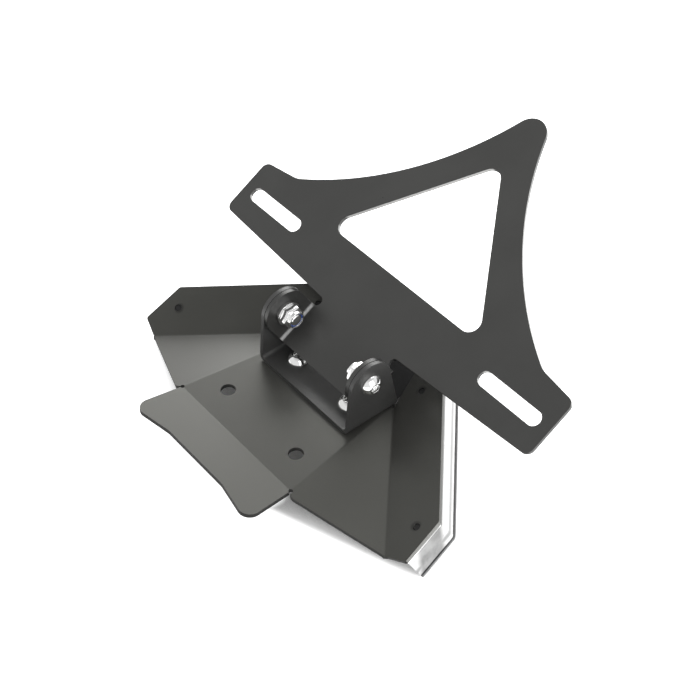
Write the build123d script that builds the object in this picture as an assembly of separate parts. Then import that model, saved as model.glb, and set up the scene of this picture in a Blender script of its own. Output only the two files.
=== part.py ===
from build123d import *
import os
from math import acos, atan2, cos, radians, sin, tan

# Tail tidy, laid upside down to the way it is used, in millimetres.
# X is across, Y runs from the tongue to the number plate, Z is up.
# The origin is midway between the two tail bolt holes, on the panel's top face.

# Sheet metal
sheet = 2.0
bend_inside = 2.0
relief_radius = 1.0

# Undertray: panel
tail_hole_spacing = 50.0
tail_hole = 7.0
tongue_fold_y = -14.8
panel_half_front = 40.2
panel_half_rear = 30.1
wing_fold_length = 69.0
rear_lip_side_gap = 0.6
rear_lip_half = 23.2
rear_lip_y = 78.0
rear_lip_corner = 4.0

# Undertray: tongue
tongue_angle = 6.5
tongue_half_tip = 42.7
tongue_length = 25.9
tongue_corner = 5.5
recess_half = 19.7
recess_depth = 4.4
recess_corner = 8.0

# Undertray: wings and strips
wing_angle = 13.6
wing_reach = 48.9
wing_tip_back = 7.4
wing_rear_reach = 1.8
wing_rear_back = 3.8
wing_front_overhang = 2.8
wing_corner = 3.3
strip_angle = 39.0
strip_width = 24.8
strip_front_reach = 9.5
strip_front_overhang = 4.5
strip_chamfer_run = 11.3
strip_toe_reach = 2.4
strip_toe_x = 30.5
strip_inner_x = 20.0
strip_corner = 1.5

# Hinge bracket
bracket_width = 64.0
pivot_y = 36.9
pivot_z = 24.7
ear_radius = 11.2
ear_base_front = 13.4
ear_base_rear = 16.6
base_bolt_inset = 13.7
base_bolt_y = 35.6

# Number-plate bracket, with heights measured up its slope from the pivot
plate_lean_angle = 30.5
plate_offset = 11.2
ear_side_gap = 0.3
ear_slot_depth = 5.2
ear_slot_height = 4.8
ear_slot_corner = 2.2
plate_half_width = 105.2
plate_end_low = 20.1
plate_end_high = 49.8
plate_end_corner = 4.0
shoulder_x = 84.0
shoulder_height = 52.5
shoulder_radius = 12.0
side_arc_radius = 167.0
tip_height = 142.2
tip_radius = 8.5
cutout_low = 44.5
cutout_high = 115.4
cutout_half = 52.5
cutout_corner = 5.5
plate_slot_height = 34.2
plate_slot_inset = 9.6
plate_slot_run = 29.1
plate_slot_width = 7.4

# Fasteners, M6 in the hinge and M3 in the skirts
bolt_diameter = 6.0
bolt_length = 12.0
bolt_hole = 6.4
bolt_head_diameter = 10.5
bolt_head_height = 3.3
bolt_socket = 4.0
bolt_socket_depth = 2.0
head_crown_share = 0.6
washer_diameter = 12.0
washer_thickness = 1.6
washer_gap = 0.2
nut_flats = 10.0
nut_hex_height = 4.2
nut_height = 6.0
nut_collar_diameter = 8.6
pin_clearance = 0.1
thread_clearance = 0.05
screw_diameter = 3.0
screw_head_diameter = 5.5
screw_head_height = 1.7
screw_recess = 0.3
screw_hole = 3.3
screw_front_along = 11.2
screw_rear_along = 81.0
screw_inset = 10.6

# Side skirts and their edge trims
skirt_sheet = 1.2
skirt_height = 12.9
skirt_bend_inside = 0.4
skirt_flange = 15.0
skirt_flange_taper = 5.0
skirt_corner = 2.5
skirt_end_gap = 1.5
skirt_front_gap = 0.5
trim_wall = 0.6
trim_height = 3.0

# Derived sizes
ear_outer = bracket_width / 2 - sheet - ear_side_gap
ear_inner = ear_outer - sheet
ear_slot_half = ear_outer - ear_slot_depth
base_bolt_x = bracket_width / 2 - base_bolt_inset
trim_inner = skirt_sheet + trim_wall
touching = 0.01


def unit(x, y):
    size = (x * x + y * y) ** 0.5
    return x / size, y / size


def past(start, end, distance):
    """The point that lies a distance beyond end on the line from start."""
    dx, dy = unit(end[0] - start[0], end[1] - start[1])
    return end[0] + dx * distance, end[1] + dy * distance


def rounded_face(corners):
    """A flat face from (x, y, radius) corners."""
    points = [(x, y) for x, y, radius in corners]
    radii = [radius for x, y, radius in corners]
    return make_face(FilletPolyline(*points, radius=radii, close=True))


def sheet_from(plane, face, thickness):
    """A sheet whose top face lies in the plane."""
    return extrude(plane * face, amount=thickness, dir=-plane.z_dir)


def folded_plane(parent, start, end, lift):
    """The plane beyond a fold line. Its x axis leads away from the fold, its y axis along it."""
    origin = parent.from_local_coords(Vector(*start, 0))
    along = (parent.from_local_coords(Vector(*end, 0)) - origin).normalized()
    outward = along.cross(parent.z_dir)
    x_dir = outward * cos(radians(lift)) + parent.z_dir * sin(radians(lift))
    return Plane(origin=origin, x_dir=x_dir, z_dir=x_dir.cross(along))


def left_of(plane):
    """The mirror image of a plane on the left side."""
    flipped = [Vector(-v.X, v.Y, v.Z) for v in (plane.origin, plane.x_dir, plane.z_dir)]
    return Plane(origin=flipped[0], x_dir=flipped[1], z_dir=flipped[2])


def opens_up(parent, child):
    return child.x_dir.dot(parent.z_dir) > 0


def fold_outward(parent, child):
    """The direction across a fold, in the parent sheet, toward the child."""
    outward = child.y_dir.cross(parent.z_dir)
    return outward if outward.dot(child.x_dir) > 0 else -outward


def fold_half_angle(parent, child):
    return acos(parent.z_dir.dot(child.z_dir)) / 2


def setback(parent, child):
    """How far from the sharp fold line the bend begins, on the sheet's top face."""
    radius = bend_inside if opens_up(parent, child) else bend_inside + sheet
    return radius * tan(fold_half_angle(parent, child))


def keep_inside(body, parent, child):
    """The parent sheet, cut where its bend toward the child begins."""
    outward = fold_outward(parent, child)
    origin = child.origin - outward * setback(parent, child)
    cut = Plane(origin=origin, x_dir=child.y_dir, z_dir=outward)
    return split(body, bisect_by=cut, keep=Keep.BOTTOM)


def keep_outside(body, parent, child):
    """The child sheet, cut where its bend from the parent ends."""
    origin = child.origin + child.x_dir * setback(parent, child)
    cut = Plane(origin=origin, x_dir=child.y_dir, z_dir=child.x_dir)
    return split(body, bisect_by=cut, keep=Keep.TOP)


def bend(parent, child, start, end):
    """The bent stretch of a fold: a slice of a tube about the bend's own axis."""
    side = 1 if opens_up(parent, child) else -1
    near_radius = bend_inside if side > 0 else bend_inside + sheet
    far_radius = bend_inside + sheet if side > 0 else bend_inside
    middle = (parent.z_dir + child.z_dir).normalized()
    axis_lift = side * near_radius / cos(fold_half_angle(parent, child))
    axis = child.origin + middle * axis_lift + child.y_dir * start
    spokes = [-side * direction for direction in (parent.z_dir, middle, child.z_dir)]
    near = [axis + spoke * near_radius for spoke in spokes]
    far = [axis + spoke * far_radius for spoke in spokes]
    section = Curve() + ThreePointArc(*near) + ThreePointArc(*far)
    section += Line(near[0], far[0])
    section += Line(near[2], far[2])
    return extrude(make_face(section), amount=end - start, dir=child.y_dir)


# Planes of the folded undertray. The right side is modelled, and the left is its mirror image.
panel_plane = Plane.XY
tongue_plane = folded_plane(panel_plane, (0, tongue_fold_y), (1, tongue_fold_y), tongue_angle)
wing_root = (panel_half_front, tongue_fold_y)
panel_taper = panel_half_front - panel_half_rear
wing_fold_rise = (wing_fold_length**2 - panel_taper**2) ** 0.5
wing_root_rear = (panel_half_rear, tongue_fold_y + wing_fold_rise)
wing_plane = folded_plane(panel_plane, wing_root, wing_root_rear, -wing_angle)
strip_start = (wing_reach, wing_tip_back)
strip_end = (wing_rear_reach, wing_fold_length - wing_rear_back)
strip_plane = folded_plane(wing_plane, strip_start, strip_end, strip_angle)
strip_fold_length = (Vector(*strip_end) - Vector(*strip_start)).length


def along_strip_to(x, across):
    """How far along the strip a line at this distance from the fold reaches a place in X."""
    start = strip_plane.from_local_coords(Vector(across, 0, 0))
    return (x - start.X) / strip_plane.y_dir.X


strip_toe = (strip_toe_reach, along_strip_to(strip_toe_x, strip_toe_reach))
strip_inner_corner = (strip_width, along_strip_to(strip_inner_x, strip_width))


def strip_inner_end(across):
    """Where the strip's slanted inner end lies, at this distance from the fold."""
    share = (across - strip_toe[0]) / (strip_inner_corner[0] - strip_toe[0])
    return strip_toe[1] + share * (strip_inner_corner[1] - strip_toe[1])


def panel():
    over = sheet
    rear_y = wing_root_rear[1]
    lip_root_half = panel_half_rear - rear_lip_side_gap
    face = rounded_face([
        (-panel_half_front - over, tongue_fold_y - over, 0),
        (panel_half_front + over, tongue_fold_y - over, 0),
        (panel_half_rear + over, rear_y, 0),
        (lip_root_half, rear_y, 0),
        (rear_lip_half, rear_lip_y, rear_lip_corner),
        (-rear_lip_half, rear_lip_y, rear_lip_corner),
        (-lip_root_half, rear_y, 0),
        (-panel_half_rear - over, rear_y, 0),
    ])
    body = sheet_from(panel_plane, face, sheet)
    for child in (tongue_plane, wing_plane, left_of(wing_plane)):
        body = keep_inside(body, panel_plane, child)
    return body + bend(panel_plane, tongue_plane, -panel_half_front, panel_half_front)


def tongue():
    root = (0, panel_half_front)
    tip = (tongue_length, tongue_half_tip)
    over_x, over_y = past(tip, root, sheet)
    face = rounded_face([
        (over_x, over_y, 0),
        (over_x, -over_y, 0),
        (tip[0], -tip[1], tongue_corner),
        (tongue_length - recess_depth, -recess_half, recess_corner),
        (tongue_length - recess_depth, recess_half, recess_corner),
        (tip[0], tip[1], tongue_corner),
    ])
    return keep_outside(sheet_from(tongue_plane, face, sheet), panel_plane, tongue_plane)


def wing():
    front = (0, -wing_front_overhang)
    over_tip = past(front, strip_start, sheet)
    over_rear = past((0, wing_fold_length), strip_end, sheet)
    face = rounded_face([
        (*front, wing_corner),
        (*over_tip, 0),
        (*over_rear, 0),
        (0, wing_fold_length, 0),
    ])
    body = sheet_from(wing_plane, face, sheet)
    body = keep_outside(body, panel_plane, wing_plane)
    body = keep_inside(body, wing_plane, strip_plane)
    return body + bend(panel_plane, wing_plane, 0, wing_fold_length)


def strip():
    front = (strip_front_reach, -strip_front_overhang)
    over_front = past(front, (0, 0), sheet)
    over_rear = past(strip_toe, (0, strip_fold_length), sheet)
    face = rounded_face([
        (over_front[0], over_front[1], 0),
        (front[0], front[1], strip_corner),
        (strip_width, strip_chamfer_run, strip_corner),
        (*strip_inner_corner, strip_corner),
        (*strip_toe, strip_corner),
        (over_rear[0], over_rear[1], 0),
    ])
    body = sheet_from(strip_plane, face, sheet)
    body = keep_outside(body, wing_plane, strip_plane)
    return body + bend(wing_plane, strip_plane, 0, strip_fold_length)


def screw_places():
    """Where the skirt screws pass through the strip, in the strip's plane."""
    across = strip_width - screw_inset
    return {"front": (across, screw_front_along), "rear": (across, screw_rear_along)}


def drill(plane, x, y, diameter, depth):
    """A round cutter that runs down through a sheet from above its top face."""
    hole = Cylinder(diameter / 2, 3 * depth)
    return plane * Pos(x, y, -depth / 2) * hole


def base_plate():
    side = wing() + strip()
    for x, y in screw_places().values():
        side -= drill(strip_plane, x, y, screw_hole, sheet)
    body = panel() + tongue() + side + mirror(side, about=Plane.YZ)
    for side_sign in (-1, 1):
        body -= drill(panel_plane, side_sign * tail_hole_spacing / 2, 0, tail_hole, sheet)
        body -= drill(panel_plane, side_sign * base_bolt_x, base_bolt_y, bolt_hole, sheet)
        relief_x = side_sign * panel_half_front
        body -= drill(panel_plane, relief_x, tongue_fold_y, 2 * relief_radius, 2 * sheet)
    return body


def edges_on(body, origin, along):
    """The straight edges of a body that lie on a line."""
    found = []
    for edge in body.edges().filter_by(GeomType.LINE):
        apart = edge.center() - origin
        sideways = (apart - along * apart.dot(along)).length
        direction = (edge @ 1 - edge @ 0).normalized()
        if sideways < touching and abs(direction.cross(along).length) < touching:
            found.append(edge)
    return found


def tapered_ear(length):
    """An ear seen from the side: its wide root at 0, narrowing to a round end about the pivot."""
    root = Line((-ear_base_front, 0), (ear_base_rear, 0))
    end = Pos(0, length) * Circle(ear_radius)
    return make_hull(root.edges() + end.edges())


def straight_ear(length):
    """An ear of one width, seen from the side: its root at 0 and its round end about the pivot."""
    root = Pos(0, length / 2) * Rectangle(2 * ear_radius, length)
    return root + Pos(0, length) * Circle(ear_radius)


def hinge_bracket():
    """The U shaped bracket: a floor on the panel and two upright ears."""
    floor_box = Box(bracket_width, ear_base_front + ear_base_rear, sheet)
    floor_y = pivot_y + (ear_base_rear - ear_base_front) / 2
    body = Pos(0, floor_y, sheet / 2) * floor_box
    for outer_x in (-bracket_width / 2, bracket_width / 2 - sheet):
        ear_plane = Plane(origin=(outer_x, pivot_y, 0), x_dir=(0, 1, 0), z_dir=(1, 0, 0))
        body += extrude(ear_plane * tapered_ear(pivot_z), amount=sheet)
    body -= Pos(0, pivot_y, pivot_z) * Rot(0, 90, 0) * Cylinder(bolt_hole / 2, 2 * bracket_width)
    for side_sign in (-1, 1):
        body -= drill(Plane.XY.offset(sheet), side_sign * base_bolt_x, base_bolt_y, bolt_hole, sheet)
    half = bracket_width / 2
    along_y = body.edges().filter_by(Axis.Y)
    low = [e for e in along_y if e.center().Z < touching]
    outside = [e for e in low if abs(abs(e.center().X) - half) < touching]
    body = fillet(outside, bend_inside + sheet)
    along_y = body.edges().filter_by(Axis.Y)
    inside_x = half - sheet
    inside = [e for e in along_y if abs(abs(e.center().X) - inside_x) < touching]
    return fillet(inside, bend_inside)


lean = radians(plate_lean_angle)
plate_up = Vector(0, cos(lean), sin(lean))
plate_front = Vector(0, -sin(lean), cos(lean))
plate_origin = Vector(0, pivot_y, pivot_z) - plate_front * plate_offset
plate_plane = Plane(origin=plate_origin, x_dir=(1, 0, 0), z_dir=plate_front)


def side_arc_points():
    """The concave edge from the shoulder to the round tip: its start, middle and end."""
    tip_y = tip_height - tip_radius
    apart = ((shoulder_x) ** 2 + (tip_y - shoulder_height) ** 2) ** 0.5
    to_tip = side_arc_radius + tip_radius
    swing = acos((side_arc_radius**2 + apart**2 - to_tip**2) / (2 * side_arc_radius * apart))
    toward_tip = atan2(tip_y - shoulder_height, -shoulder_x)
    centre_angle = toward_tip - swing
    centre = (
        shoulder_x + side_arc_radius * cos(centre_angle),
        shoulder_height + side_arc_radius * sin(centre_angle),
    )
    dx, dy = unit(centre[0], centre[1] - tip_y)
    end = (tip_radius * dx, tip_y + tip_radius * dy)
    chord_middle = ((shoulder_x + end[0]) / 2, (shoulder_height + end[1]) / 2)
    dx, dy = unit(chord_middle[0] - centre[0], chord_middle[1] - centre[1])
    middle = (centre[0] + side_arc_radius * dx, centre[1] + side_arc_radius * dy)
    return (shoulder_x, shoulder_height), middle, end


def plate_outline():
    """The flat number-plate bracket, with the web between its ears at the bottom."""
    start, middle, end = side_arc_points()
    slot_top = ear_radius + ear_slot_height
    right = [
        (0, -ear_radius),
        (ear_outer, -ear_radius),
        (ear_outer, ear_radius),
        (ear_slot_half, ear_radius),
        (ear_slot_half, slot_top),
        (plate_half_width, plate_end_low),
        (plate_half_width, plate_end_high),
        start,
    ]
    left = [(-x, y) for x, y in right]
    edges = Curve() + Polyline(*right) + Polyline(*left)
    edges += ThreePointArc(start, middle, end)
    edges += ThreePointArc(end, (0, tip_height), (-end[0], end[1]))
    edges += ThreePointArc((-end[0], end[1]), (-middle[0], middle[1]), (-start[0], start[1]))
    face = make_face(edges)
    rounds = {
        (ear_slot_half, ear_radius): ear_slot_corner,
        (ear_slot_half, slot_top): ear_slot_corner,
        (plate_half_width, plate_end_low): plate_end_corner,
        (plate_half_width, plate_end_high): plate_end_corner,
        start: shoulder_radius,
    }
    for (x, y), radius in rounds.items():
        near = [v for v in face.vertices() if abs(abs(v.X) - x) + abs(v.Y - y) < touching]
        face = fillet(near, radius)
    return face


def plate_openings():
    """The triangular cut-out and the two slots for the number plate's screws."""
    openings = rounded_face([
        (-cutout_half, cutout_low, cutout_corner),
        (cutout_half, cutout_low, cutout_corner),
        (0, cutout_high, cutout_corner),
    ])
    slot_centre = plate_half_width - plate_slot_inset - plate_slot_run / 2
    for side_sign in (-1, 1):
        slot = SlotCenterToCenter(plate_slot_run, plate_slot_width)
        openings += Pos(side_sign * slot_centre, plate_slot_height) * slot
    return openings


def plate_bracket():
    """The number-plate bracket: one sheet, its two ears folded forward to the pivot."""
    body = sheet_from(plate_plane, plate_outline() - plate_openings(), sheet)
    for outer_x in (-ear_outer, ear_inner):
        root = plate_plane.from_local_coords(Vector(outer_x, 0, -sheet))
        ear_plane = Plane(origin=root, x_dir=plate_up, z_dir=(1, 0, 0))
        body += extrude(ear_plane * straight_ear(plate_offset + sheet), amount=sheet)
    hole = Cylinder(bolt_diameter / 2 + pin_clearance, 2 * bracket_width)
    body -= Pos(0, pivot_y, pivot_z) * Rot(0, 90, 0) * hole
    for x, z, radius in ((ear_outer, -sheet, bend_inside + sheet), (ear_inner, 0, bend_inside)):
        for side_sign in (-1, 1):
            line = plate_plane.from_local_coords(Vector(side_sign * x, 0, z))
            body = fillet(edges_on(body, line, plate_up), radius)
    return body


def headed_pin(diameter, length, head_diameter, head_height):
    """A pin along Z with a button head. The head stands on Z 0 and the shank runs down."""
    profile = Polyline(
        (0, head_height),
        (0, -length),
        (diameter / 2, -length),
        (diameter / 2, 0),
        (head_diameter / 2, 0),
        (head_diameter / 2 * head_crown_share, head_height),
        close=True,
    )
    return revolve(Plane.XZ * make_face(profile), axis=Axis.Z)


def hinge_bolt():
    """A button head bolt with a hexagon socket."""
    body = headed_pin(bolt_diameter, bolt_length, bolt_head_diameter, bolt_head_height)
    hexagon = RegularPolygon(bolt_socket / 2, 6, major_radius=False)
    recess = extrude(hexagon, amount=bolt_socket_depth)
    return body - Pos(0, 0, bolt_head_height - bolt_socket_depth) * recess


def washer():
    """A plain washer along Z, with its upper face on Z 0."""
    ring = Circle(washer_diameter / 2) - Circle(bolt_hole / 2)
    return extrude(ring, amount=-washer_thickness)


def locknut():
    """A nylon insert nut along Z. Its hexagon hangs from Z 0, and its collar is below."""
    hexagon = extrude(RegularPolygon(nut_flats / 2, 6, major_radius=False), amount=-nut_hex_height)
    collar_height = nut_height - nut_hex_height
    collar = Pos(0, 0, -nut_hex_height - collar_height / 2)
    collar *= Cylinder(nut_collar_diameter / 2, collar_height)
    bore = Cylinder(bolt_diameter / 2 + thread_clearance, 3 * nut_height)
    return hexagon + collar - bore


def skirt_path(inset):
    """The strip's outer edge, moved inward: the front end, the corner and the rear end."""
    front = (strip_front_reach, -strip_front_overhang)
    corner = (strip_width, strip_chamfer_run)
    dx, dy = unit(corner[0] - front[0], corner[1] - front[1])
    inward = (-dy, dx)
    mitre_y = inset * (1 - dy) / dx
    rear_y = strip_inner_end(strip_width) - skirt_end_gap
    return [
        (front[0] + dx * skirt_front_gap + inward[0] * inset,
         front[1] + dy * skirt_front_gap + inward[1] * inset),
        (corner[0] - inset, corner[1] + mitre_y),
        (corner[0] - inset, rear_y),
    ]


def skirt_band(outer, inner, corner_radius):
    """A face that follows the strip's outer edge between two insets."""
    far = skirt_path(outer)
    near = skirt_path(inner)
    near_radius = max(0, corner_radius - inner)
    return rounded_face([
        (*far[0], 0),
        (*far[1], corner_radius - outer),
        (*far[2], 0),
        (*near[2], 0),
        (*near[1], near_radius),
        (*near[0], 0),
    ])


def side_skirt():
    """A flange below the strip, with a wall folded down along its two outer edges."""
    path = skirt_path(0)
    flange_x = strip_width - skirt_flange
    flange = rounded_face([
        (*path[0], 0),
        (*path[1], skirt_corner),
        (*path[2], 0),
        (flange_x, strip_inner_end(flange_x) - skirt_end_gap, 0),
        (flange_x, path[0][1] + skirt_flange_taper, 0),
    ])
    body = sheet_from(Plane.XY, flange, skirt_sheet)
    body += sheet_from(Plane.XY, skirt_band(0, skirt_sheet, skirt_corner), skirt_height)
    fold_outside = Vector(*path[1], 0)
    fold_inside = fold_outside - Vector(skirt_sheet, 0, skirt_sheet)
    body = fillet(edges_on(body, fold_outside, Vector(0, 1, 0)), skirt_bend_inside + skirt_sheet)
    body = fillet(edges_on(body, fold_inside, Vector(0, 1, 0)), skirt_bend_inside)
    for x, y in screw_places().values():
        body -= drill(Plane.XY, x, y, screw_hole, skirt_sheet)
    return strip_plane.offset(-sheet) * body


def edge_trim():
    """A U section pushed onto the skirt's free edge."""
    low = strip_plane.offset(-sheet - skirt_height - trim_wall + trim_height)
    body = sheet_from(low, skirt_band(-trim_wall, trim_inner, skirt_corner), trim_height)
    slot = sheet_from(low, skirt_band(0, skirt_sheet, skirt_corner), trim_height - trim_wall)
    return body - slot


def skirt_screw(x, y):
    """A screw put in from below, its tip just under the strip's top face."""
    length = sheet + skirt_sheet - screw_recess
    body = headed_pin(screw_diameter, length, screw_head_diameter, screw_head_height)
    seat = strip_plane.offset(-sheet - skirt_sheet)
    return seat * Pos(x, y, 0) * Rot(180, 0, 0) * body


def right_side_pieces():
    """The pieces that come in pairs, as they lie on the right side."""
    pivot = Pos(bracket_width / 2, pivot_y, pivot_z) * Rot(0, 90, 0)
    inner_face = ear_inner - washer_gap - bracket_width / 2
    pieces = {
        "pivot_bolt": pivot * hinge_bolt(),
        "pivot_washer": pivot * Pos(0, 0, inner_face) * washer(),
        "pivot_nut": pivot * Pos(0, 0, inner_face - washer_thickness) * locknut(),
        "base_bolt": Pos(base_bolt_x, base_bolt_y, sheet) * hinge_bolt(),
        "base_washer": Pos(base_bolt_x, base_bolt_y, -sheet) * washer(),
        "base_nut": Pos(base_bolt_x, base_bolt_y, -sheet - washer_thickness) * locknut(),
        "side_skirt": side_skirt(),
        "edge_trim": edge_trim(),
    }
    for end, (x, y) in screw_places().items():
        pieces["skirt_screw_" + end] = skirt_screw(x, y)
    return pieces


nodes = {
    "base_plate": base_plate(),
    "hinge_bracket": hinge_bracket(),
    "plate_bracket": plate_bracket(),
}
for name, piece in right_side_pieces().items():
    nodes[name + "_right"] = piece
    nodes[name + "_left"] = mirror(piece, about=Plane.YZ)

os.makedirs("parts", exist_ok=True)
for name, piece in nodes.items():
    export_step(piece, "parts/" + name + ".step")
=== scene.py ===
# %% [markdown]
# # A motorbike tail tidy
# A tail tidy takes the place of a motorbike's rear mudguard. It is folded from black sheet steel:
# an undertray that bolts under the tail, a U shaped bracket, and a number-plate bracket that tilts
# between the U's ears on two bolts. Here it lies upside down, as on a seller's white table.
# The folded metal comes ready made as the frame, so this lesson gives it its finishes, makes the
# bolts and lock nuts in detail, and sets up the table, the light and the camera.

# %% Load the frame
from math import atan2, cos, pi, radians, sin, tan

import bmesh
import bpy
from mathutils import Matrix, Vector


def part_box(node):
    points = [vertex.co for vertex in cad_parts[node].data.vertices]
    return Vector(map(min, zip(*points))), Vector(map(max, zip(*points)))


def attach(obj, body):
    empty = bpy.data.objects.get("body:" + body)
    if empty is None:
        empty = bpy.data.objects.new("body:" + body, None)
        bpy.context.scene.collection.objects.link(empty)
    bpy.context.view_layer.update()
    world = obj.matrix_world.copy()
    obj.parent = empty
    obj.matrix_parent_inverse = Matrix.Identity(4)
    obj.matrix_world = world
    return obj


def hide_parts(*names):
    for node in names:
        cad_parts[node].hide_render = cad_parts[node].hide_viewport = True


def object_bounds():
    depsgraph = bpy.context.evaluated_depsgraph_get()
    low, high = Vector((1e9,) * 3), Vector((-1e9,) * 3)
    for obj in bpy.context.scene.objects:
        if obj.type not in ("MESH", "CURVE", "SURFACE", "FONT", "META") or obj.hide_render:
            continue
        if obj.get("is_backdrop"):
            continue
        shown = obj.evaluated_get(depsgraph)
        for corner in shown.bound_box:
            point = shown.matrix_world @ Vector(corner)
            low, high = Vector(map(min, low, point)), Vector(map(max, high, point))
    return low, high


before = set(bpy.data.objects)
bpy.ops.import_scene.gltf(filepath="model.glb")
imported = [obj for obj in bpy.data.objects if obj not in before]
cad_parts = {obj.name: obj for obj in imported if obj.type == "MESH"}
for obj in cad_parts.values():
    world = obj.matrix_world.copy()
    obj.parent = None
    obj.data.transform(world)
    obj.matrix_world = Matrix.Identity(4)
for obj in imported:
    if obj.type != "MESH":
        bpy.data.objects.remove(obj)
cad_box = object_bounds()
MM = 0.001


def in_mm(*lengths):
    """Lengths in millimetres, for printing."""
    return [round(length / MM, 2) for length in lengths]


print("nodes:", len(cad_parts), "box:", in_mm(*cad_box[0], *cad_box[1]))

# %% [markdown]
# ## The camera
# The photograph was taken from the front right and from above. A camera can be aimed by eye, but here
# its place was worked out from pairs of mirrored points, so the few numbers below give it exactly: the
# point it turns about, the two angles, the distance and the focal length in pixels of a 700 pixel frame.

# %% Camera
view_point = Vector((0.0, 56.4, 0.0)) * MM
view_turn = radians(50.38)
view_height = radians(45.16)
view_roll = radians(-0.11)
view_distance = 682.5 * MM
view_slide = Vector((3.7, -6.2)) * MM
focal_pixels = 1468.1
frame_pixels = 700
sensor_width = 36.0
nearest_seen = 10 * MM


def put_in_scene(obj):
    bpy.context.scene.collection.objects.link(obj)
    return obj


level_right = Vector((cos(view_turn), sin(view_turn), 0.0))
view_back = Vector((
    sin(view_turn) * cos(view_height),
    -cos(view_turn) * cos(view_height),
    sin(view_height),
))
level_up = view_back.cross(level_right)
view_right = level_right * cos(view_roll) + level_up * sin(view_roll)
view_up = level_up * cos(view_roll) - level_right * sin(view_roll)
camera_place = view_point + view_back * view_distance
camera_place = camera_place - view_right * view_slide.x - view_up * view_slide.y
camera_turn = Matrix((view_right, view_up, view_back)).transposed().to_4x4()

camera = put_in_scene(bpy.data.objects.new("camera", bpy.data.cameras.new("camera")))
camera.data.sensor_width = sensor_width
camera.data.lens = focal_pixels / frame_pixels * sensor_width
camera.data.clip_start = nearest_seen
camera.matrix_world = Matrix.Translation(camera_place) @ camera_turn
bpy.context.scene.camera = camera
print("camera at", in_mm(*camera_place), "lens", round(camera.data.lens, 2))

# %% [markdown]
# ## Writing masks as sums
# A material is a graph of nodes. Wiring it by hand takes many lines, so a Signal stands for the output
# of one node, and Python's own operators on it add Math nodes. A mask then reads like the sum it is.


# %% Signal
class Signal:
    """The output of a node. Operators on it add Math nodes."""

    def __init__(self, finish, socket):
        self.finish = finish
        self.socket = socket

    def math(self, operation, first, second=0.0):
        return self.finish.node("ShaderNodeMath", {"operation": operation}, {0: first, 1: second})

    def __add__(self, other):
        return self.math("ADD", self, other)

    def __radd__(self, other):
        return self.math("ADD", other, self)

    def __sub__(self, other):
        return self.math("SUBTRACT", self, other)

    def __rsub__(self, other):
        return self.math("SUBTRACT", other, self)

    def __mul__(self, other):
        return self.math("MULTIPLY", self, other)

    def __rmul__(self, other):
        return self.math("MULTIPLY", other, self)

    def __abs__(self):
        return self.math("ABSOLUTE", self)

    def larger(self, other):
        return self.math("MAXIMUM", self, other)

    def rise(self, low, high):
        """0 below low, 1 above high and a smooth step between. With high below low it falls."""
        if low < high:
            ends = {"From Min": low, "From Max": high, "To Min": 0.0, "To Max": 1.0}
        else:
            ends = {"From Min": high, "From Max": low, "To Min": 1.0, "To Max": 0.0}
        settings = {"interpolation_type": "SMOOTHSTEP"}
        return self.finish.node("ShaderNodeMapRange", settings, {"Value": self, **ends})


print("a Signal adds, subtracts and multiplies by Math nodes")

# %% [markdown]
# ## A finish being written
# A Finish holds one graph of nodes, a material's or the world's. Its node method makes any node from
# its type, its settings and what its sockets are fed. The other methods are what most finishes here
# need: how far a point lies in a direction, how far a face looks in a direction, noise, a mix of two
# colours, and a normal with softened edges. Every pattern reads the object's own coordinates, so it
# keeps its real scale and moves with its piece.

# %% Finish
ACROSS = (1, 0, 0)
BACK = (0, 1, 0)
UP = (0, 0, 1)
bevel_samples = 4


class Finish:
    """The nodes of a material or a world."""

    def __init__(self, block):
        self.block = block
        block.use_nodes = True
        self.tree = block.node_tree
        self.tree.nodes.clear()

    def node(self, kind, settings=None, sockets=None, output=0):
        made = self.tree.nodes.new(kind)
        for key, value in (settings or {}).items():
            setattr(made, key, value)
        for key, value in (sockets or {}).items():
            if isinstance(value, Signal):
                self.tree.links.new(value.socket, made.inputs[key])
            else:
                made.inputs[key].default_value = value
        return Signal(self, made.outputs[output]) if made.outputs else None

    def place(self):
        return self.node("ShaderNodeTexCoord", output="Object")

    def along(self, vector, direction):
        sockets = {0: vector, 1: direction}
        return self.node("ShaderNodeVectorMath", {"operation": "DOT_PRODUCT"}, sockets, "Value")

    def reach(self, direction):
        """How far a point lies from the origin in one direction."""
        return self.along(self.place(), direction)

    def looks(self, direction):
        """1 where a face looks in a direction, 0 across it and -1 away from it."""
        return self.along(self.node("ShaderNodeTexCoord", output="Normal"), direction)

    def noise(self, size, detail=2.0, seed=0.0):
        """Noise whose lumps are about one size across, in metres."""
        sockets = {"Vector": self.place(), "W": seed, "Scale": 1 / size, "Detail": detail}
        return self.node("ShaderNodeTexNoise", {"noise_dimensions": "4D"}, sockets)

    def mix(self, factor, first, second):
        """A mix of two colours. Of the Mix node's sockets, 6 and 7 take them, and output 2 gives them."""
        sockets = {0: factor, 6: first, 7: second}
        return self.node("ShaderNodeMix", {"data_type": "RGBA"}, sockets, 2)

    def rounded(self, radius, height, depth):
        """A normal with edges rounded by a radius and bumps from a height, both in metres."""
        edges = self.node("ShaderNodeBevel", {"samples": bevel_samples}, {"Radius": radius})
        sockets = {"Height": height, "Distance": depth, "Normal": edges}
        return self.node("ShaderNodeBump", None, sockets)

    def principled(self, **sockets):
        """A Principled shader, its sockets named like specular_ior_level."""
        named = {}
        for key, value in sockets.items():
            named[key.replace("_", " ").title().replace("Ior", "IOR")] = value
        return self.node("ShaderNodeBsdfPrincipled", None, named)

    def surface(self, skin, output="ShaderNodeOutputMaterial"):
        self.node(output, None, {"Surface": skin})
        return self.block


def new_finish(name):
    return Finish(bpy.data.materials.new(name))


def grey(level, warm=0.0):
    """A near grey colour with a little less blue when warm."""
    return (level, level, level * (1 - warm), 1.0)


print("directions across, back and up:", ACROSS, BACK, UP)

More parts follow.
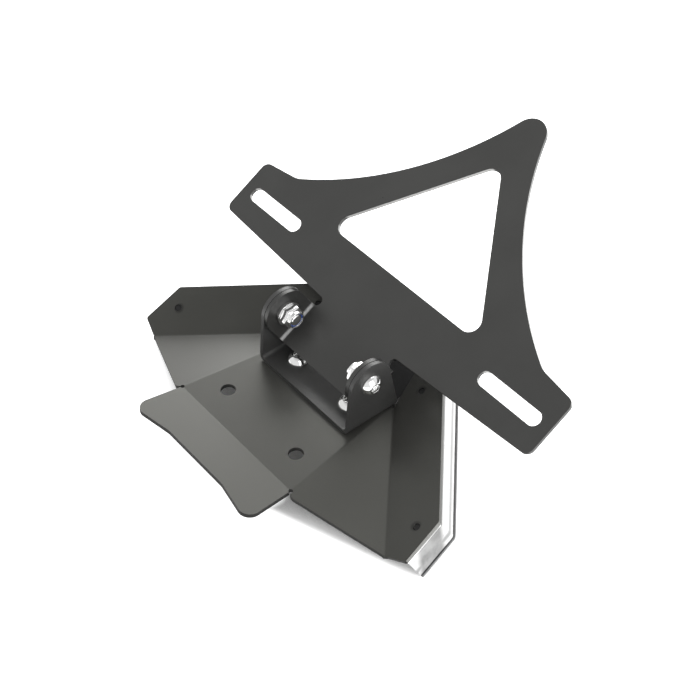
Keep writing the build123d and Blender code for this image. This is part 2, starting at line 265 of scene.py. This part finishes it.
# %% [markdown]
# ## Black powder coat
# The sheet metal is sprayed with black powder and baked. That leaves a satin skin with a faint orange
# peel, a fine grain, a few tiny pits, and a sheen that changes a little from place to place. Where
# painted shade is wanted, a darker matt copy of the coat is mixed in. An image could hold all this, but
# noise has no seams. Each sheet gives the coat three masks of its own: where its edges are paler (a
# painted highlight on the tray and the number-plate bracket), where it carries painted shade, and where
# its bends carry a painted highlight.

# %% Powder coat
coat_black = 0.03
coat_lift = 1.2
coat_clouds = (0.35, 0.7)
coat_roughness = 0.36
cloud_sheen, grain_sheen, pit_sheen = 0.08, 0.06, 0.3
cloud_size = 35 * MM
peel_size = 1.6 * MM
grain_size = 0.35 * MM
peel_depth = 0.012 * MM
coat_round = 0.25 * MM
pit_spacing = 17 * MM
pit_radius = 0.35 * MM
pit_black = 0.005
# Grey of the painted highlight on the number-plate bracket's bends.
bend_highlight_grey = 0.4
# Painted shade: a darker matt coat, mixed in where a sheet's shade mask is.
shade_film_dark, shade_film_light = 0.012, 0.02
shade_film_roughness = 0.7
shade_film_gloss = 0.1


def tiny_pits(finish):
    """1 on a few tiny spots, each in a cell of its own."""
    cells = {"Vector": finish.place(), "Scale": 1 / pit_spacing, "Randomness": 1.0}
    distance = finish.node("ShaderNodeTexVoronoi", None, cells, "Distance")
    lottery = finish.node("ShaderNodeTexVoronoi", None, cells, "Color")
    chosen = finish.node("ShaderNodeSeparateColor", None, {"Color": lottery}, "Red")
    edge = pit_radius / pit_spacing
    return distance.rise(edge, edge * 0.4) * chosen.rise(0.55, 0.6)


def powder_coat(name, warmth, edge_grey_and_highlight, masks):
    """Satin black coat. masks gives where the edges are paler (a painted highlight on the tray and the
    number-plate bracket), where it has painted shade and where its bends have a painted highlight.
    """
    finish = new_finish(name)
    cloud = finish.noise(cloud_size, 3.0)
    peel = finish.noise(peel_size, 1.0, 2.0)
    grain = finish.noise(grain_size, 1.0, 5.0)
    pits = tiny_pits(finish)
    pale_edge_and_highlight, painted_shade, bend_highlight = masks(finish)
    light = grey(coat_black * coat_lift, warmth)
    coat = finish.mix(cloud.rise(*coat_clouds), grey(coat_black, warmth), light)
    # Paler cut edges: on the tray and the number-plate bracket, a painted highlight on the edges that face
    # the light.
    coat = finish.mix(pale_edge_and_highlight * (0.7 + 0.4 * (peel - 0.3)), coat, grey(edge_grey_and_highlight, warmth / 2))
    coat = finish.mix(pits * 0.8, coat, grey(pit_black))
    # Painted highlight on the number-plate bracket's bends.
    coat = finish.mix(bend_highlight * (0.35 + peel), coat, grey(bend_highlight_grey))
    sheen = coat_roughness + cloud_sheen * (cloud - 0.5) + grain_sheen * (grain - 0.5) + pit_sheen * pits
    normal = finish.rounded(coat_round, peel * 0.7 + grain * 0.3, peel_depth)
    satin = finish.principled(
        base_color=coat, roughness=sheen, normal=normal, ior=1.5, specular_tint=grey(1.0, warmth)
    )
    # Painted shade: a darker matt copy of the coat, mixed in by the shade mask.
    shade_film = finish.mix(cloud, grey(shade_film_dark), grey(shade_film_light))
    shade_film_sheen = shade_film_roughness + 0.2 * grain
    shaded_matt = finish.principled(
        base_color=shade_film, roughness=shade_film_sheen, normal=normal, specular_ior_level=shade_film_gloss
    )
    return finish.surface(finish.node("ShaderNodeMixShader", None, {0: painted_shade, 1: satin, 2: shaded_matt}))


print("peel", in_mm(peel_size), "grain", in_mm(grain_size), "pits", in_mm(pit_spacing), "apart, in mm")

# %% [markdown]
# ## The undertray's coat
# The right strip's outer cut edges, which face the light, get a painted highlight in grey, and the other
# cut edges get painted shade. An edge could be picked out by hand, but the direction it looks in already
# tells it from the faces, which all lean less. The rear lip behind the hinge is nearly black in the
# photograph and is given painted shade, and each small screw in the strips has painted shade round it.

# %% Undertray coat
tray_warmth = 0.08
# Grey of the painted highlight on the right strip's outer edges.
tray_edge_highlight = 0.26
screw_spots = ((86.7 * MM, 15.7 * MM), (36.6 * MM, 63.0 * MM))
# Size and strength of the painted shade round each screw tip.
screw_shade_radius = 2.8 * MM
screw_shade_core = 0.3
screw_shade_share = 0.6
level_looks = (0.975, 0.995)
rear_lip = (44 * MM, 56 * MM)
upright_looks = (0.5, 0.35)
outward_back = (0.6, 0.8, 0)
outward_looks = (0.15, 0.45)
strip_outside = (43 * MM, 47 * MM)
# Share of painted shade on the cut edges that face away from the light.
edge_shade_share = 0.8


def screw_shade(finish):
    """Painted shade: 1 at the four screw tips in the tray's strips, fading to 0 a little way out."""
    across = abs(finish.reach(ACROSS))
    back = finish.reach(BACK)
    shade_rings = 0.0
    for x, y in screw_spots:
        square = (across - x) * (across - x) + (back - y) * (back - y)
        shade_rings = shade_rings + square.rise(screw_shade_radius**2, (screw_shade_radius * screw_shade_core) ** 2)
    return shade_rings


def tray_masks(finish):
    """Painted highlight on the right strip's outer edges. Painted shade on the other edges, the lip and
    round the screws.
    """
    edge = abs(finish.looks(UP)).rise(*upright_looks)
    outer = finish.looks(outward_back).rise(*outward_looks)
    lit_edge_side = outer * finish.reach(ACROSS).rise(*strip_outside)
    # Painted shade on the rear lip and round the screw tips.
    lip = finish.looks(UP).rise(*level_looks) * finish.reach(BACK).rise(*rear_lip)
    shade_film = lip.larger(screw_shade(finish) * screw_shade_share)
    return edge * lit_edge_side, (edge * (1 - lit_edge_side) * edge_shade_share).larger(shade_film), 0.0


tray_coat = powder_coat("tray_coat", tray_warmth, tray_edge_highlight, tray_masks)
print(tray_coat.name, "has", len(tray_coat.node_tree.nodes), "nodes")

# %% [markdown]
# ## The U bracket's coat
# The U bracket is the blackest of the three sheets, with edges only a little paler than its faces.
# They look forward or back, or over the top of an ear, and the same two questions find them: which
# way does the face look, and how high does it lie?

# %% U bracket coat
bracket_warmth = 0.02
bracket_edge_grey = 0.045
forward_looks = (0.5, 0.7)
ear_top = (20 * MM, 22 * MM)


def bracket_masks(finish):
    forward = abs(finish.looks(BACK)).rise(*forward_looks)
    over_ear = finish.reach(UP).rise(*ear_top) * abs(finish.looks(ACROSS)).rise(*upright_looks)
    return forward.larger(over_ear), 0.0, 0.0


bracket_coat = powder_coat("bracket_coat", bracket_warmth, bracket_edge_grey, bracket_masks)
print(bracket_coat.name, "has", len(bracket_coat.node_tree.nodes), "nodes")

# %% [markdown]
# ## The number-plate bracket's coat
# This sheet leans back, so its cut edges are the faces that look away from its front, apart from the
# two ears, which look across. The right hand edges, which face the light, get a painted highlight in
# grey, and the other edges painted shade. Where each ear is folded forward the bend gets a patchy painted
# highlight, so the bends get a mask of their own: only a bend looks both to the front and across.

# %% Number-plate bracket coat
plate_warmth = 0.03
# Grey of the painted highlight on the right hand edges.
plate_edge_highlight = 0.5
plate_lean = radians(30.5)
plate_front = (0.0, -sin(plate_lean), cos(plate_lean))
ear_allowance = 0.35
flat_looks = (0.6, 0.45)
past_ears = (60 * MM, 66 * MM)
bend_looks = (0.2, 0.45)
patch_size = 7 * MM


def bend_highlights(finish):
    """A patchy painted highlight on the two bends below the plate's ears."""
    patches = finish.noise(patch_size, 2.0, 4.0).rise(0.42, 0.58)
    bend = abs(finish.looks(plate_front) * finish.looks(ACROSS)).rise(*bend_looks)
    return bend * (0.25 + 0.6 * patches)


def plate_masks(finish):
    """Painted highlight on the cut edges to the right, past the ears. Painted shade on the others, and
    painted highlights on the bends.
    """
    across = finish.looks(ACROSS)
    flat = abs(finish.looks(plate_front)).larger(abs(across) - ear_allowance)
    edge = flat.rise(*flat_looks)
    lit_edge_side = across.rise(*outward_looks) * finish.reach(BACK).rise(*past_ears)
    return edge * lit_edge_side, edge * (1 - lit_edge_side) * edge_shade_share, bend_highlights(finish)


plate_coat = powder_coat("plate_coat", plate_warmth, plate_edge_highlight, plate_masks)
print(plate_coat.name, "has", len(plate_coat.node_tree.nodes), "nodes")

# %% [markdown]
# ## Bright metals
# The bolts and nuts are bright zinc. Metal shows what is round it, so its own colour is nearly white,
# and what makes it look used is a few small marks: fine rubbing lines in the normal, smears in the
# colour and the sheen, and small pits. A painted highlight would be simpler, but would stay in place
# when the light moves.

# %% Bright metals
smear_size = 9 * MM
metal_pit_size = 0.9 * MM
metal_round = 0.12 * MM
# Grey of the painted reflections on the skirts.
reflection_grey = 0.16


def bright_metal(name, level, roughness, mark_size, mark_depth, painted_reflections=None):
    finish = new_finish(name)
    smear = finish.noise(smear_size, 3.0, 1.0)
    marks = finish.noise(mark_size, 2.0, 3.0)
    pits = finish.noise(metal_pit_size, 0.0, 7.0).rise(0.72, 0.8)
    colour = finish.mix(smear.rise(0.3, 0.75), grey(level), grey(level * 0.88, 0.015))
    colour = finish.mix(pits * 0.5, colour, grey(level * 0.45))
    if painted_reflections:
        colour = finish.mix(painted_reflections(finish), colour, grey(reflection_grey))
    sheen = roughness + 0.07 * (smear - 0.5) + 0.1 * pits
    normal = finish.rounded(metal_round, marks, mark_depth)
    return finish.surface(finish.principled(base_color=colour, roughness=sheen, metallic=1.0, normal=normal))


bolt_metal = bright_metal("bolt_metal", 0.88, 0.08, 0.25 * MM, 0.003 * MM)
nut_metal = bright_metal("nut_metal", 0.84, 0.14, 0.3 * MM, 0.006 * MM)
print("metals:", bolt_metal.name, nut_metal.name)

# %% [markdown]
# ## Polished side skirts
# The skirts are polished stainless sheet below the black strips. A soft grey line of painted reflection
# runs along the wall just above its lower edge, and behind the front corner a cloudy painted reflection
# darkens the chamfer. Both are masks over the same bright metal, measured from the strip's own plane and
# from its ends.

# %% Skirt metal
strip_normal = Vector((-0.2301, -0.4359, 0.8701))
# Where the skirts' painted reflections lie.
streak_level = -39.9 * MM
streak_reach = (2.1 * MM, 0.2 * MM)
streak_share = 0.68
reflection_front = (7 * MM, 11 * MM)
reflection_back = (24 * MM, 21 * MM)
chamfer_start = (92 * MM, 94 * MM)
reflection_cloud = 7 * MM


def skirt_reflections(finish):
    """Painted reflections: a soft grey line above the wall's lower edge, and a cloudy patch behind the front
    corner.
    """
    across = abs(finish.reach(ACROSS))
    height = finish.reach((0, strip_normal.y, strip_normal.z)) + strip_normal.x * across
    reflected_streak = abs(height - streak_level).rise(*streak_reach)
    back = finish.reach(BACK)
    reflected_patch = back.rise(*reflection_front) * back.rise(*reflection_back) * across.rise(*chamfer_start)
    cloud = finish.noise(reflection_cloud, 3.0, 11.0).rise(0.35, 0.65)
    return (reflected_streak * streak_share).larger(reflected_patch * (0.66 + 0.22 * cloud))


skirt_metal = bright_metal("skirt_metal", 0.62, 0.12, 2.5 * MM, 0.008 * MM, skirt_reflections)
print(skirt_metal.name, "has", len(skirt_metal.node_tree.nodes), "nodes")

# %% [markdown]
# ## Rubber, black screws and nylon
# A strip of rubber trim covers each skirt's lower edge, the small screws are blackened, and a ring of
# blue nylon sits in each lock nut. None of them shines, so a plain rough colour would nearly do. A
# little grain, and a colour that changes slowly over the piece, keep them from looking flat.

# %% Rubber, screws and nylon
soft_cloud = 14 * MM
soft_round = 0.2 * MM
soft_depth = 0.02 * MM
nylon_cloud = 1.5 * MM
nylon_round = 0.1 * MM
nylon_dark = (0.008, 0.035, 0.2, 1.0)
nylon_light = (0.02, 0.07, 0.3, 1.0)


def soft_black(name, level, roughness, grain, gloss):
    finish = new_finish(name)
    cloud = finish.noise(soft_cloud, 2.0, 4.0)
    colour = finish.mix(cloud, grey(level), grey(level * 1.6))
    normal = finish.rounded(soft_round, finish.noise(grain, 2.0), soft_depth)
    sheen = {"roughness": roughness + 0.15 * (cloud - 0.5), "specular_ior_level": gloss}
    return finish.surface(finish.principled(base_color=colour, normal=normal, **sheen))


def blue_nylon():
    finish = new_finish("blue_nylon")
    cloud = finish.noise(nylon_cloud, 2.0)
    colour = finish.mix(cloud, nylon_dark, nylon_light)
    normal = finish.rounded(nylon_round, cloud, soft_depth)
    return finish.surface(finish.principled(base_color=colour, roughness=0.35 + 0.2 * cloud, normal=normal))


trim_rubber = soft_black("trim_rubber", 0.2, 0.5, 0.5 * MM, gloss=0.5)
screw_black = soft_black("screw_black", 0.01, 0.6, 0.4 * MM, gloss=0.25)
nylon = blue_nylon()
print("soft finishes:", trim_rubber.name, screw_black.name, nylon.name)

# %% [markdown]
# ## Dressing the frame
# Each node of the frame is one real piece with one finish. The names say what a piece is, so the
# start of a name is enough to choose by, and the left and right piece of a pair get the same finish.

# %% Finishes of the frame's pieces
finishes = {
    "base_plate": tray_coat,
    "hinge_bracket": bracket_coat,
    "plate_bracket": plate_coat,
    "pivot_washer": nut_metal,
    "base_washer": nut_metal,
    "side_skirt": skirt_metal,
    "edge_trim": trim_rubber,
    "skirt_screw": screw_black,
    "pivot_bolt": bolt_metal,
    "base_bolt": bolt_metal,
    "pivot_nut": nut_metal,
    "base_nut": nut_metal,
}


def finish_of(node):
    for start, material in finishes.items():
        if node.startswith(start):
            return material
    raise ValueError("no finish for " + node)


for node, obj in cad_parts.items():
    obj.data.materials.clear()
    obj.data.materials.append(finish_of(node))
print("finishes given to", len(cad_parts), "nodes")

# %% [markdown]
# ## Shapes of a ring
# A bolt or a nut is a stack of rings. It could be spun from a profile, but a socket or a hexagon isn't
# round. So a ring here is a small function that gives a radius and a height for every angle. The
# corners of a nut are cut by a cone, which is hard to draw, but as a ring it is one line: the further
# out a point lies, the further back from the end it sits.


# %% Ring shapes
def circle(radius, height):
    return lambda angle: (radius, height)


def hexagon(flats, height):
    """A six sided ring, measured across its flats."""
    return lambda angle: (flats / 2 / cos((angle + pi / 6) % (pi / 3) - pi / 6), height)


def chamfered(flats, round_radius, height, slope):
    """A six sided ring cut by a cone, so its corners lie further from the end than its flats."""
    six = hexagon(flats, height)

    def shape(angle):
        radius = six(angle)[0]
        return radius, height + slope * max(0.0, radius - round_radius)

    return shape


print("a 10 mm hexagon is", in_mm(2 * hexagon(10 * MM, 0.0)(pi / 6)[0]), "mm across its corners")

# %% [markdown]
# ## Growing round pieces
# Each piece starts as a circle of edges. Its open rim is extruded, the new rim is moved to the next
# ring's shape, and so on up the stack. The ends are then capped, or joined to each other for a ring
# with a bore. Last, the sharp edges get a small bevel, because nothing real has a perfectly sharp one.

# %% Growing
ring_steps = 96
least_angle = radians(28)


def fit(verts, shape):
    for vert in verts:
        angle = atan2(vert.co.y, vert.co.x)
        radius, height = shape(angle)
        vert.co = Vector((radius * cos(angle), radius * sin(angle), height))


def grow(bm, rim, shape):
    """Extrudes a rim, fits the new verts to a shape and returns the new rim."""
    grown = bmesh.ops.extrude_edge_only(bm, edges=rim)["geom"]
    fit([part for part in grown if isinstance(part, bmesh.types.BMVert)], shape)
    edges = [part for part in grown if isinstance(part, bmesh.types.BMEdge)]
    return [edge for edge in edges if len(edge.link_faces) == 1]


def stack(shapes, capped=True):
    """A closed body from a stack of ring shapes, capped at both ends or joined end to end."""
    bm = bmesh.new()
    fit(bmesh.ops.create_circle(bm, segments=ring_steps, radius=1.0)["verts"], shapes[0])
    first = list(bm.edges)
    rim = first
    for shape in shapes[1:]:
        rim = grow(bm, rim, shape)
    if capped:
        bmesh.ops.contextual_create(bm, geom=first)
        bmesh.ops.contextual_create(bm, geom=rim)
    else:
        bmesh.ops.bridge_loops(bm, edges=first + rim)
    bmesh.ops.recalc_face_normals(bm, faces=bm.faces)
    return bm


def soften(bm, width):
    """Rounds the edges where two faces meet at more than the least angle."""
    sharp = [edge for edge in bm.edges if edge.is_manifold and edge.calc_face_angle() > least_angle]
    bmesh.ops.bevel(
        bm,
        geom=sharp,
        offset=width,
        segments=2,
        profile=0.5,
        affect="EDGES",
        material=-1,
        clamp_overlap=True,
    )


print("each ring has", ring_steps, "points")

# %% [markdown]
# ## Putting pieces in place
# A piece is grown standing on the origin, and its place goes into the mesh, so every object stays at
# the origin as the frame's own do. It rides on one of the frame's bodies, and its slot says what it
# is made of. Where it goes is read from the box of the plain piece that it stands in for.

# %% Placing
sharp_angle = radians(40)


def make_piece(name, bm, place, material, body="undertray"):
    bmesh.ops.transform(bm, matrix=place, verts=bm.verts)
    mesh = bpy.data.meshes.new(name)
    bm.to_mesh(mesh)
    bm.free()
    mesh.shade_smooth()
    mesh.set_sharp_from_angle(angle=sharp_angle)
    mesh.materials.append(material)
    piece = put_in_scene(bpy.data.objects.new(name, mesh))
    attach(piece, body)
    return piece


def seat_of(node, axis, head_up):
    """The middle of one end of a node's box: its high end, or its low end."""
    low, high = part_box(node)
    point = (low + high) / 2
    point[axis] = high[axis] if head_up else low[axis]
    return point


def facing_matrix(point, axis, head_up):
    """Stands a piece made along +Z at a point, its +Z along one of the frame's axes."""
    if axis == 2:
        turn = Matrix.Rotation(0.0 if head_up else pi, 4, "X")
    else:
        turn = Matrix.Rotation(pi / 2 if head_up else -pi / 2, 4, "Y")
    return Matrix.Translation(point) @ turn


print("right pivot bolt's head ends at", in_mm(*seat_of("pivot_bolt_right", 0, True)), "mm")

# %% [markdown]
# ## Button head bolts
# Four M6 button head bolts hold the brackets. The head is a low dome with a hexagon socket. The dome
# is an arc of rings, and the socket is a six sided rim grown down into it. The thread is hidden in the
# nut, and modelling it would cost more faces than the rest, so the shank is plain with a cut tip.

# %% Bolt shape
bolt_radius = 3.0 * MM
bolt_tip_chamfer = 0.55 * MM
bolt_soften = 0.1 * MM
head_radius = 5.2 * MM
head_height = 3.3 * MM
head_rim = 0.45 * MM
crown_radius = 2.75 * MM
socket_flats = 4.0 * MM
socket_depth = 2.1 * MM
socket_point = 0.5 * MM
socket_point_radius = 1.0 * MM
dome_steps = 7


def dome_rings():
    """Rings on an arc from the head's rim up to the flat round the socket."""
    apart = crown_radius**2 + head_height**2 - head_radius**2 - head_rim**2
    centre = apart / (2 * (head_height - head_rim))
    radius = (head_radius**2 + (head_rim - centre) ** 2) ** 0.5
    start = atan2(head_rim - centre, head_radius)
    end = atan2(head_height - centre, crown_radius)
    angles = [start + (end - start) * step / dome_steps for step in range(dome_steps + 1)]
    return [circle(radius * cos(angle), centre + radius * sin(angle)) for angle in angles]


def button_bolt(length):
    """A bolt with its head standing on 0 and its shank below."""
    bm = stack([
        circle(bolt_radius - bolt_tip_chamfer, -length),
        circle(bolt_radius, -length + bolt_tip_chamfer),
        circle(bolt_radius, 0.0),
        circle(head_radius, 0.0),
        *dome_rings(),
        hexagon(socket_flats, head_height),
        hexagon(socket_flats, head_height - socket_depth),
        circle(socket_point_radius, head_height - socket_depth - socket_point),
    ])
    soften(bm, bolt_soften)
    return bm


print("the head's dome has", len(dome_rings()), "rings")

# %% Bolts in place
bolt_facts = {
    "pivot_bolt_right": (0, True),
    "pivot_bolt_left": (0, False),
    "base_bolt_right": (2, True),
    "base_bolt_left": (2, True),
}
for node, (axis, head_up) in bolt_facts.items():
    low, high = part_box(node)
    bolt_length = (high - low)[axis] - head_height
    place = facing_matrix(seat_of(node, axis, head_up), axis, head_up)
    sink = Matrix.Translation((0.0, 0.0, -head_height))
    bolt = make_piece(node + "_fine", button_bolt(bolt_length), place @ sink, bolt_metal)
    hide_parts(node)
    print(bolt.name, "length", in_mm(bolt_length), "mm, faces", len(bolt.data.polygons))

# %% [markdown]
# ## Lock nuts
# A lock nut is a hexagon with a round collar, and a nylon ring in the collar grips the bolt's thread.
# A plain hexagon would do from afar, but the left pivot nut faces the camera, so the cut corners, the
# rolled collar and the blue ring are all made. The ring is a piece of its own, in its own colour.

# %% Nut shape
nut_flats = 9.9 * MM
nut_hex_height = 4.2 * MM
nut_height = 6.0 * MM
nut_face_radius = 4.75 * MM
nut_slope = tan(radians(30))
nut_bore = 3.04 * MM
nut_soften = 0.08 * MM
collar_radius = 4.25 * MM
collar_round = 0.6 * MM
collar_mouth = 3.5 * MM
collar_floor = 4.4 * MM
ring_gap = 0.02 * MM
ring_inner = 3.02 * MM
ring_top = 5.3 * MM
ring_soften = 0.12 * MM


def lock_nut():
    """Grown from its washer face at 0 to its collar."""
    bm = stack([
        circle(nut_bore, 0.0),
        circle(nut_face_radius, 0.0),
        chamfered(nut_flats, nut_face_radius, 0.0, nut_slope),
        chamfered(nut_flats, nut_face_radius, nut_hex_height, -nut_slope),
        circle(nut_face_radius, nut_hex_height),
        circle(collar_radius, nut_hex_height),
        circle(collar_radius, nut_height - collar_round),
        circle(collar_radius - collar_round * 0.3, nut_height - collar_round * 0.3),
        circle(collar_radius - collar_round, nut_height),
        circle(collar_mouth, nut_height),
        circle(collar_mouth, collar_floor),
        circle(nut_bore, collar_floor),
    ], capped=False)
    soften(bm, nut_soften)
    return bm


def nylon_ring():
    outer = collar_mouth - ring_gap
    low = collar_floor + ring_gap
    bm = stack([
        circle(ring_inner, low),
        circle(outer, low),
        circle(outer, ring_top),
        circle(ring_inner, ring_top),
    ], capped=False)
    soften(bm, ring_soften)
    return bm


print("the nylon ring stands", in_mm(nut_height - ring_top), "mm below the nut's end")

# %% Nuts in place
nut_facts = {
    "pivot_nut_right": (0, False),
    "pivot_nut_left": (0, True),
    "base_nut_right": (2, False),
    "base_nut_left": (2, False),
}
for node, (axis, collar_up) in nut_facts.items():
    place = facing_matrix(seat_of(node, axis, not collar_up), axis, collar_up)
    nut = make_piece(node + "_fine", lock_nut(), place, nut_metal)
    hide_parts(node)
    ring = make_piece(node + "_ring", nylon_ring(), place, nylon)
    print(nut.name, "faces", len(nut.data.polygons), ring.name, len(ring.data.polygons))

# %% [markdown]
# ## The trim on the skirts' edges
# A strip of black edge trim is pushed onto each skirt's lower edge. In the photograph it is slimmer
# than the frame's plain section. It could be swept again along the edge, but a copy of the section,
# pressed together about the skirt's own edge in the direction that the wall stands, follows the same
# corner, and the edge still lies in the trim's slot.

# %% Trims
trim_press = 0.24
trim_web = 0.6 * MM
same_place = 0.001 * MM


def slim_trim(node, stand):
    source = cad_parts[node]
    bm = bmesh.new()
    bm.from_mesh(source.data)
    bmesh.ops.transform(bm, matrix=source.matrix_world, verts=bm.verts)
    bmesh.ops.remove_doubles(bm, verts=bm.verts, dist=same_place)
    heights = {vert: vert.co.dot(stand) for vert in bm.verts}
    skirt_edge = min(heights.values()) + trim_web
    for vert, height in heights.items():
        vert.co -= stand * (height - skirt_edge) * (1 - trim_press)
    bmesh.ops.recalc_face_normals(bm, faces=bm.faces)
    trim = make_piece(node + "_fine", bm, Matrix.Identity(4), trim_rubber)
    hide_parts(node)
    return trim


for side, node in ((1, "edge_trim_right"), (-1, "edge_trim_left")):
    stand = Vector((strip_normal.x * side, strip_normal.y, strip_normal.z)).normalized()
    trim = slim_trim(node, stand)
    print(trim.name, "faces", len(trim.data.polygons))

# %% [markdown]
# ## Corner welds
# Where the panel, a wing and its strip meet behind the hinge, the folded sheet leaves a small hole at
# each side. The photograph shows none, so each is closed by a dab of weld, coated with the rest. A
# patch of sheet would show its edges. A low stack of rings just below the sheet's top doesn't.

# %% Corner welds
weld_place = Vector((30.9, 51.2, -1.3)) * MM
weld_radius = 1.8 * MM
weld_flat = weld_radius * 0.6
weld_half = 0.95 * MM
weld_lower = weld_half * 0.6
weld_upper = weld_half * 0.7


def corner_weld():
    return stack([
        circle(weld_flat, -weld_half),
        circle(weld_radius, -weld_lower),
        circle(weld_radius, weld_upper),
        circle(weld_flat, weld_half),
    ])


for name, side in (("corner_weld_right", 1), ("corner_weld_left", -1)):
    place = Matrix.Translation((weld_place.x * side, weld_place.y, weld_place.z))
    weld = make_piece(name, corner_weld(), place, tray_coat)
    print(weld.name, "faces", len(weld.data.polygons))

# %% [markdown]
# ## The white ground
# The photograph has a plain white ground with a soft shadow close round the part. A lit floor is never
# evenly white, and a glowing one has no shadow. So the floor is a white diffuse surface whose colour is
# darkened to grey as painted shadow where it lies enclosed, and where it lies open a glow that only the
# camera and mirrors see lifts it to plain white. Ambient occlusion says how open a place is. The
# photograph's shadow ends in front along a slanted line, and so does this one.

# %% Floor
floor_gap = 0.2 * MM
floor_half = 3.0
floor_glow = 0.85
openness_reach = 70 * MM
openness_samples = 12
# Grey of the painted shadow on the floor where it lies enclosed.
painted_shadow_grey = 0.3
painted_shadow_openness = (0.0, 0.3)
open_ground = (0.25, 0.6)
shadow_slant = 0.36
shadow_front = (-25 * MM, -29.5 * MM)
clear_left = (-50 * MM, -46 * MM)
clear_right = (30 * MM, 26 * MM)
clear_front = (-6 * MM, -12 * MM)


def clear_ground(finish):
    """1 in front of the shadow's slanted edge, and before the tongue."""
    across = finish.reach(ACROSS)
    back = finish.reach(BACK)
    front = (back - shadow_slant * across).rise(*shadow_front)
    tongue = across.rise(*clear_left) * across.rise(*clear_right)
    return front.larger(tongue * back.rise(*clear_front))


def white_ground():
    """A white floor, grey with painted shadow where enclosed. Where open to the sky, a camera glow lifts it
    to plain white.
    """
    finish = new_finish("white_ground")
    shade = {"Distance": openness_reach}
    openness = finish.node("ShaderNodeAmbientOcclusion", {"samples": openness_samples}, shade, "AO")
    tone = finish.mix(finish.noise(40 * MM, 2.0), grey(0.93), grey(0.94))
    # Painted shadow: the floor's own colour turns grey where it is enclosed.
    tone = finish.mix(openness.rise(*painted_shadow_openness), grey(painted_shadow_grey), tone)
    paint = finish.node("ShaderNodeBsdfDiffuse", None, {"Color": tone})
    camera_ray = finish.node("ShaderNodeLightPath", output="Is Camera Ray")
    glossy_ray = finish.node("ShaderNodeLightPath", output="Is Glossy Ray")
    share = openness.rise(*open_ground).larger(clear_ground(finish)) * camera_ray.larger(glossy_ray)
    dark = finish.node("ShaderNodeEmission", None, {"Color": grey(0.0)})
    glow = finish.node("ShaderNodeEmission", None, {"Color": grey(floor_glow)})
    lift = finish.node("ShaderNodeMixShader", None, {0: share, 1: dark, 2: glow})
    return finish.surface(finish.node("ShaderNodeAddShader", None, {0: paint, 1: lift}))


floor_bm = bmesh.new()
bmesh.ops.create_grid(floor_bm, x_segments=1, y_segments=1, size=floor_half)
bmesh.ops.translate(floor_bm, verts=floor_bm.verts, vec=(0.0, 0.0, cad_box[0].z - floor_gap))
floor_mesh = bpy.data.meshes.new("floor")
floor_bm.to_mesh(floor_mesh)
floor_bm.free()
floor_mesh.materials.append(white_ground())
floor = put_in_scene(bpy.data.objects.new("floor", floor_mesh))
floor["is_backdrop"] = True
print("floor at", in_mm(cad_box[0].z - floor_gap), "mm")

# %% [markdown]
# ## The sky
# Soft light comes from all round, a little stronger near the horizon than overhead. To the camera the
# sky is plain white. A picture of a room would give livelier reflections, but a smooth sky keeps the
# coat's own sheen easy to read, and two backgrounds with a Light Path node between them are enough.

# %% Sky
sky_grey = 0.8
sky_low = 1.12
sky_high = 0.72
sky_turn = 0.6


def white_sky():
    """White to the camera. As a light it is brightest round the horizon and dimmer overhead."""
    sky = Finish(bpy.data.worlds.new("white_sky"))
    direction = sky.node("ShaderNodeTexCoord", output="Generated")
    height = sky.node("ShaderNodeSeparateXYZ", None, {"Vector": direction}, "Z")
    fall = {"From Min": sky_turn, "From Max": 1.0, "To Min": sky_low, "To Max": sky_high, "Value": height}
    level = sky.node("ShaderNodeMapRange", {"interpolation_type": "SMOOTHSTEP"}, fall)
    light = sky.node("ShaderNodeBackground", None, {"Color": grey(sky_grey), "Strength": level})
    plain = sky.node("ShaderNodeBackground", None, {"Color": grey(1.0)})
    camera_ray = sky.node("ShaderNodeLightPath", output="Is Camera Ray")
    pick = sky.node("ShaderNodeMixShader", None, {0: camera_ray, 1: light, 2: plain})
    return sky.surface(pick, "ShaderNodeOutputWorld")


bpy.context.scene.world = white_sky()
print("sky from", sky_low, "at the horizon to", sky_high, "overhead")

# %% [markdown]
# ## The lamps
# One large softbox behind and to the left makes the pale sheen on the tongue and the left wing. A
# small panel stands behind and above, and a fill to the right lights the skirt and the right edges.
# Small lamps would give hard shadows that the photograph doesn't have, so all three are large squares.

# %% Lamps
lamp_facts = {
    "softbox": {"toward": (-0.66, 0.62, 0.42), "distance": 0.95, "size": 0.72, "power": 7.3},
    "rear_panel": {"toward": (-0.02, 0.47, 0.88), "distance": 1.0, "size": 0.6, "power": 1.2},
    "right_fill": {"toward": (0.86, -0.08, 0.5), "distance": 1.1, "size": 0.8, "power": 5.0},
}


def area_lamp(name, toward, distance, size, power):
    """A square lamp, at a distance in a direction from the part and facing it."""
    direction = Vector(toward).normalized()
    lamp = bpy.data.lights.new(name, "AREA")
    lamp.shape = "SQUARE"
    lamp.size = size
    lamp.energy = power
    holder = put_in_scene(bpy.data.objects.new(name, lamp))
    holder.location = view_point + direction * distance
    holder.rotation_mode = "QUATERNION"
    holder.rotation_quaternion = direction.to_track_quat("Z", "Y")
    return holder


for name, facts in lamp_facts.items():
    lamp = area_lamp(name, **facts)
    print(name, "at", in_mm(*lamp.location))

# %% [markdown]
# ## Colours as they are, and the finished size
# The Standard view shows the colours as they were set, so a white of 1 is the photograph's white. The
# part's size with all its fine pieces is measured once more and printed. It should be nearly the same as
# the frame's own, printed at the start, because fine pieces only dress the frame.

# %% View settings and sizes
bpy.context.scene.view_settings.view_transform = "Standard"
visual_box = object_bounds()
print("visual box", in_mm(*visual_box[0], *visual_box[1]))
